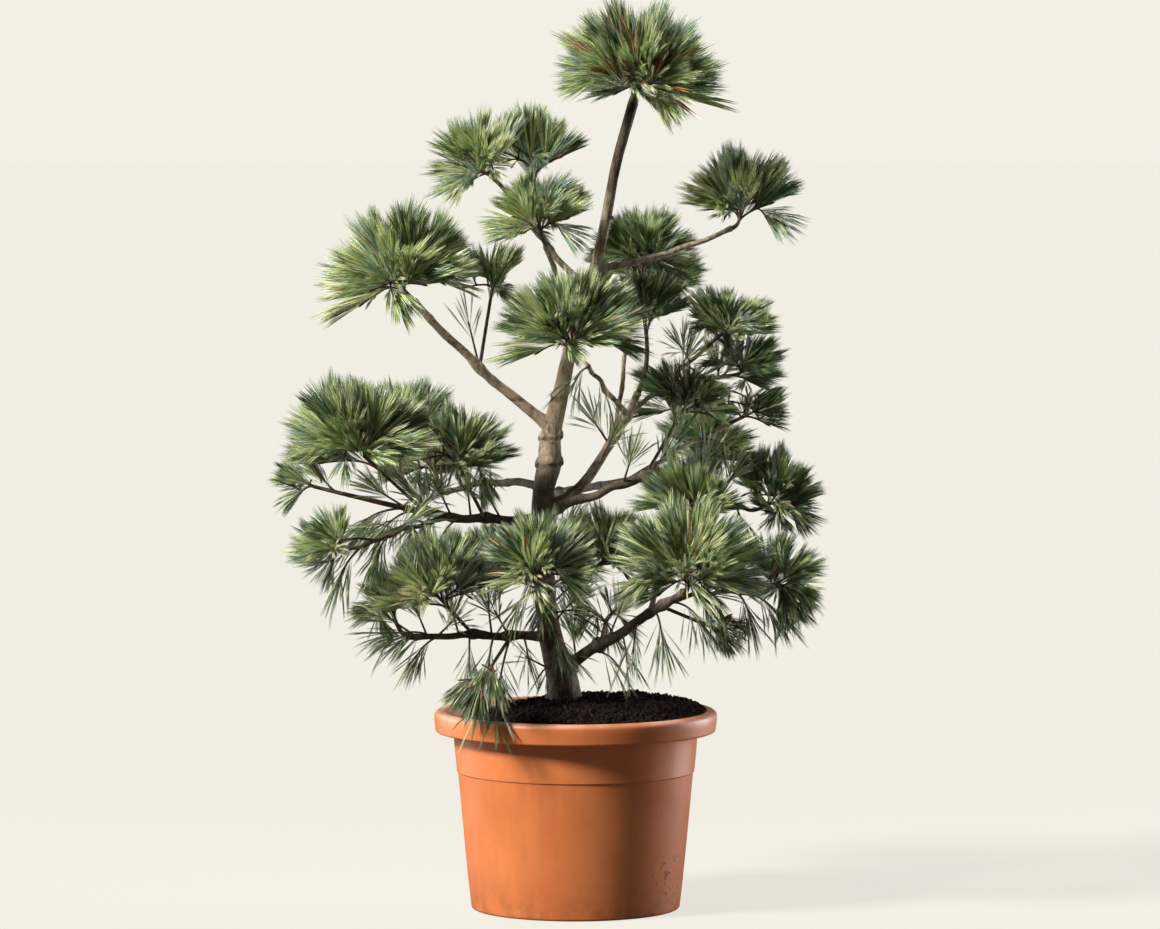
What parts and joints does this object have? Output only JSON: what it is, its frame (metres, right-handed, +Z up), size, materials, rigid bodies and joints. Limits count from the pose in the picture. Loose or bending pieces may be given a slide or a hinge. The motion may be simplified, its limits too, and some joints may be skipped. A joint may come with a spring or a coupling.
{
  "type": "potted eastern white pine bonsai",
  "caption": "Garden bonsai of an eastern white pine with a bare leaning trunk and tufts of long soft needles, in a round plastic nursery pot.",
  "frame": {"origin": "middle of the pot's flat underside", "axes": "+Z up from the pot to the tree's tip, +X to the viewer's right, +Y away from the viewer"},
  "size_m": [0.9288, 0.7323, 1.4939],
  "materials": {
    "terracotta_plastic": "moulded terracotta-coloured plastic with a dull sheen",
    "peat_soil": "dark crumbly peat and bark soil",
    "pine_bark": "grey-brown young bark with branch scars",
    "pine_needles": "soft blue-green to yellow-green needles"
  },
  "bodies": {
    "root": {"bough_back_left": "pine_bark", "bough_back_right": "pine_bark", "bough_back_upper": "pine_bark", "bough_high_right": "pine_bark", "bough_left_upper": "pine_bark", "bough_low_back": "pine_bark", "bough_low_front": "pine_bark", "bough_low_left": "pine_bark", "bough_low_right": "pine_bark", "bough_mid_left": "pine_bark", "bough_mid_right": "pine_bark", "bough_upper_far": "pine_bark", "bough_upper_near": "pine_bark", "bough_upper_right": "pine_bark", "foliage_back_left": "pine_needles", "foliage_back_right": "pine_needles", "foliage_back_upper": "pine_needles", "foliage_crown": "pine_needles", "foliage_far_left": "pine_needles", "foliage_far_right": "pine_needles", "foliage_front": "pine_needles", "foliage_hanging": "pine_needles", "foliage_left_inner": "pine_needles", "foliage_left_upper": "pine_needles", "foliage_low_back": "pine_needles", "foliage_low_centre": "pine_needles", "foliage_low_front": "pine_needles", "foliage_low_inner": "pine_needles", "foliage_low_left": "pine_needles", "foliage_low_left_tip": "pine_needles", "foliage_low_right": "pine_needles", "foliage_low_right_far": "pine_needles", "foliage_low_right_up": "pine_needles", "foliage_mid_inner": "pine_needles", "foliage_mid_left": "pine_needles", "foliage_mid_left_back": "pine_needles", "foliage_mid_left_in": "pine_needles", "foliage_mid_left_low": "pine_needles", "foliage_mid_outer": "pine_needles", "foliage_over_rim": "pine_needles", "foliage_right_high": "pine_needles", "foliage_right_inner": "pine_needles", "foliage_right_outer": "pine_needles", "foliage_right_tip": "pine_needles", "foliage_upper_back": "pine_needles", "foliage_upper_far": "pine_needles", "foliage_upper_near": "pine_needles", "foliage_upper_right": "pine_needles", "limb_high_right_back": "pine_bark", "limb_high_right_far": "pine_bark", "limb_high_right_front": "pine_bark", "limb_low_right_far": "pine_bark", "limb_low_right_up": "pine_bark", "limb_mid_left_back": "pine_bark", "limb_mid_left_low": "pine_bark", "limb_mid_right_back": "pine_bark", "limb_mid_right_far": "pine_bark", "pot": "terracotta_plastic", "soil": "peat_soil", "trunk": "pine_bark"}
  },
  "joints": []
}
